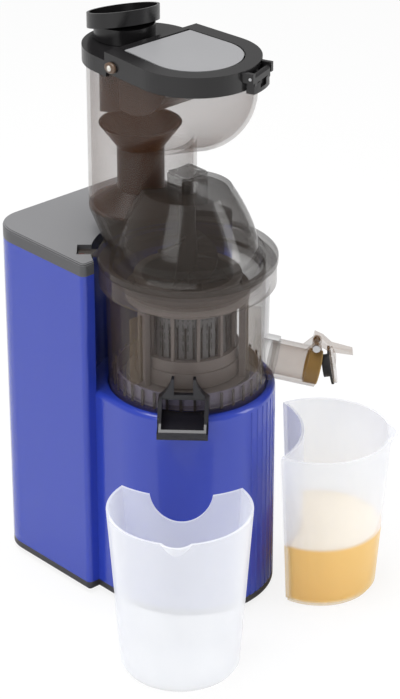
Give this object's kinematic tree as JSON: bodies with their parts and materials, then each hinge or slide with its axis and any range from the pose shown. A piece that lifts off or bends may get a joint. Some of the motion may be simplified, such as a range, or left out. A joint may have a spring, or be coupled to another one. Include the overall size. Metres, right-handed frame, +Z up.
{
  "type": "cold press juicer",
  "caption": "Upright slow juicer with a motor tower, front drum, tinted bowl with auger and strainer, hopper with flap and pusher, and two cups.",
  "frame": {"origin": "centre of the footprint at the table level, under the rubber feet", "axes": "+Z up, -Y to the front where the drum stands, +Y to the motor tower, +X to the juice spout's side"},
  "size_m": [0.2622, 0.2793, 0.4523],
  "materials": {
    "blue_plastic": "gloss",
    "grey_plastic": "satin",
    "dark_plastic": "gloss",
    "black_plastic": "satin",
    "white_plastic": "satin",
    "red_plastic": "gloss",
    "smoke_plastic": "clear tinted",
    "clear_plastic": "clear tinted",
    "frosted_plastic": "frosted",
    "amber_silicone": "satin",
    "rubber": "matt",
    "steel": "brushed",
    "aluminium": "cast",
    "board": "satin"
  },
  "bodies": {
    "base": {"housing": "blue_plastic", "top_cover": "grey_plastic", "base": "grey_plastic", "rubber_feet": "rubber", "case_screws": "steel", "rocker_bezel": "black_plastic", "cord_inlet": "black_plastic", "interlock_switch": "black_plastic", "control_board": "board", "capacitor": "steel", "motor_can": "steel", "motor_frame": "steel", "gearbox_case": "aluminium", "gearbox_cover": "aluminium", "idler_pin": "steel", "shaft_seal": "rubber"},
    "rocker": {"power_rocker": "red_plastic"},
    "button": {"interlock_button": "red_plastic"},
    "rotor": {"motor_rotor": "steel", "cooling_fan": "black_plastic"},
    "idler": {"idler_gear": "white_plastic"},
    "drive": {"output_shaft": "steel"},
    "bowl": {"bowl": "smoke_plastic", "bowl_plug": "rubber", "pulp_outlet": "black_plastic", "juice_spout": "clear_plastic", "spout_lining": "amber_silicone", "lever_screw": "steel", "strainer_frame": "grey_plastic", "strainer_sheet": "steel"},
    "spout_lever": {"spout_lever": "clear_plastic", "lever_seal": "rubber"},
    "wiper": {"wiper_frame": "grey_plastic", "wiper_blades": "amber_silicone"},
    "pinion_front": {"pinion_front": "white_plastic"},
    "pinion_rear": {"pinion_rear": "white_plastic"},
    "auger": {"auger": "dark_plastic", "auger_core": "steel"},
    "lid": {"lid": "smoke_plastic", "lid_seal": "rubber", "feed_hopper": "clear_plastic", "inner_chute": "smoke_plastic", "hopper_frame": "black_plastic", "flap_pin": "white_plastic", "latch_pin": "steel"},
    "flap": {"hopper_flap": "grey_plastic", "feed_gate": "dark_plastic"},
    "latch": {"latch": "black_plastic"},
    "pusher": {"pusher": "black_plastic"},
    "pulp_container": {"pulp_container": "frosted_plastic"},
    "juice_jug": {"juice_jug": "frosted_plastic"}
  },
  "joints": [
    {"name": "rotor_spin", "type": "hinge", "parent": "base", "child": "rotor", "pos_m": [0.007, -0.002, 0.06], "axis": [0, 0, 1], "continuous": true},
    {"name": "idler_spin", "type": "hinge", "parent": "base", "child": "idler", "pos_m": [0.007, 0.028, 0.105], "axis": [0, 0, 1], "continuous": true},
    {"name": "drive_spin", "type": "hinge", "parent": "base", "child": "drive", "pos_m": [0.007, -0.002, 0.15], "axis": [0, 0, 1], "continuous": true},
    {"name": "rocker_tilt", "type": "hinge", "parent": "base", "child": "rocker", "pos_m": [0.08, 0.097, 0.062], "axis": [0, 1, 0], "range_deg": [-8, 8]},
    {"name": "button_press", "type": "slide", "parent": "base", "child": "button", "axis": [0, 0, -1], "range_m": [0, 0.0015], "stiffness_N_per_m": 300, "springref_m": -0.002},
    {"name": "bowl_lift", "type": "slide", "parent": "base", "child": "bowl", "axis": [0, 0, 1], "range_m": [0, 0.12]},
    {"name": "spout_lever_hinge", "type": "hinge", "parent": "bowl", "child": "spout_lever", "pos_m": [0.0746, -0.0696, 0.20262], "axis": [0.7071, 0.7071, 0], "range_deg": [0, 20.5]},
    {"name": "auger_spin", "type": "hinge", "parent": "bowl", "child": "auger", "pos_m": [0.007, -0.002, 0.23], "axis": [0, 0, 1], "continuous": true},
    {"name": "wiper_spin", "type": "hinge", "parent": "bowl", "child": "wiper", "pos_m": [0.007, -0.002, 0.2], "axis": [0, 0, 1], "continuous": true},
    {"name": "pinion_front_spin", "type": "hinge", "parent": "bowl", "child": "pinion_front", "pos_m": [0.007, -0.029, 0.178], "axis": [0, 0, 1], "continuous": true},
    {"name": "pinion_rear_spin", "type": "hinge", "parent": "bowl", "child": "pinion_rear", "pos_m": [0.007, 0.025, 0.178], "axis": [0, 0, 1], "continuous": true},
    {"name": "lid_lift", "type": "slide", "parent": "bowl", "child": "lid", "axis": [0, 0, 1], "range_m": [0, 0.1]},
    {"name": "flap_hinge", "type": "hinge", "parent": "lid", "child": "flap", "pos_m": [0.007, 0.028, 0.4282], "axis": [-1, 0, 0], "range_deg": [0, 75]},
    {"name": "latch_hinge", "type": "hinge", "parent": "lid", "child": "latch", "pos_m": [0.0242, -0.05827, 0.426], "axis": [-0.9397, -0.342, 0], "range_deg": [0, 25]},
    {"name": "pusher_slide", "type": "slide", "parent": "lid", "child": "pusher", "axis": [0, 0, 1], "range_m": [0, 0.12]},
    {"name": "container_pull", "type": "slide", "parent": "base", "child": "pulp_container", "axis": [-0.7071, -0.7071, 0], "range_m": [0, 0.12]},
    {"name": "jug_pull", "type": "slide", "parent": "base", "child": "juice_jug", "axis": [0.7071, -0.7071, 0], "range_m": [0, 0.12]}
  ],
  "couplings": [
    {"joint": "idler_spin", "follows": "rotor_spin", "ratio": -0.2},
    {"joint": "drive_spin", "follows": "rotor_spin", "ratio": 0.04},
    {"joint": "auger_spin", "follows": "rotor_spin", "ratio": 0.04},
    {"joint": "wiper_spin", "follows": "rotor_spin", "ratio": -0.022609},
    {"joint": "pinion_front_spin", "follows": "rotor_spin", "ratio": -0.104},
    {"joint": "pinion_rear_spin", "follows": "rotor_spin", "ratio": -0.104}
  ]
}
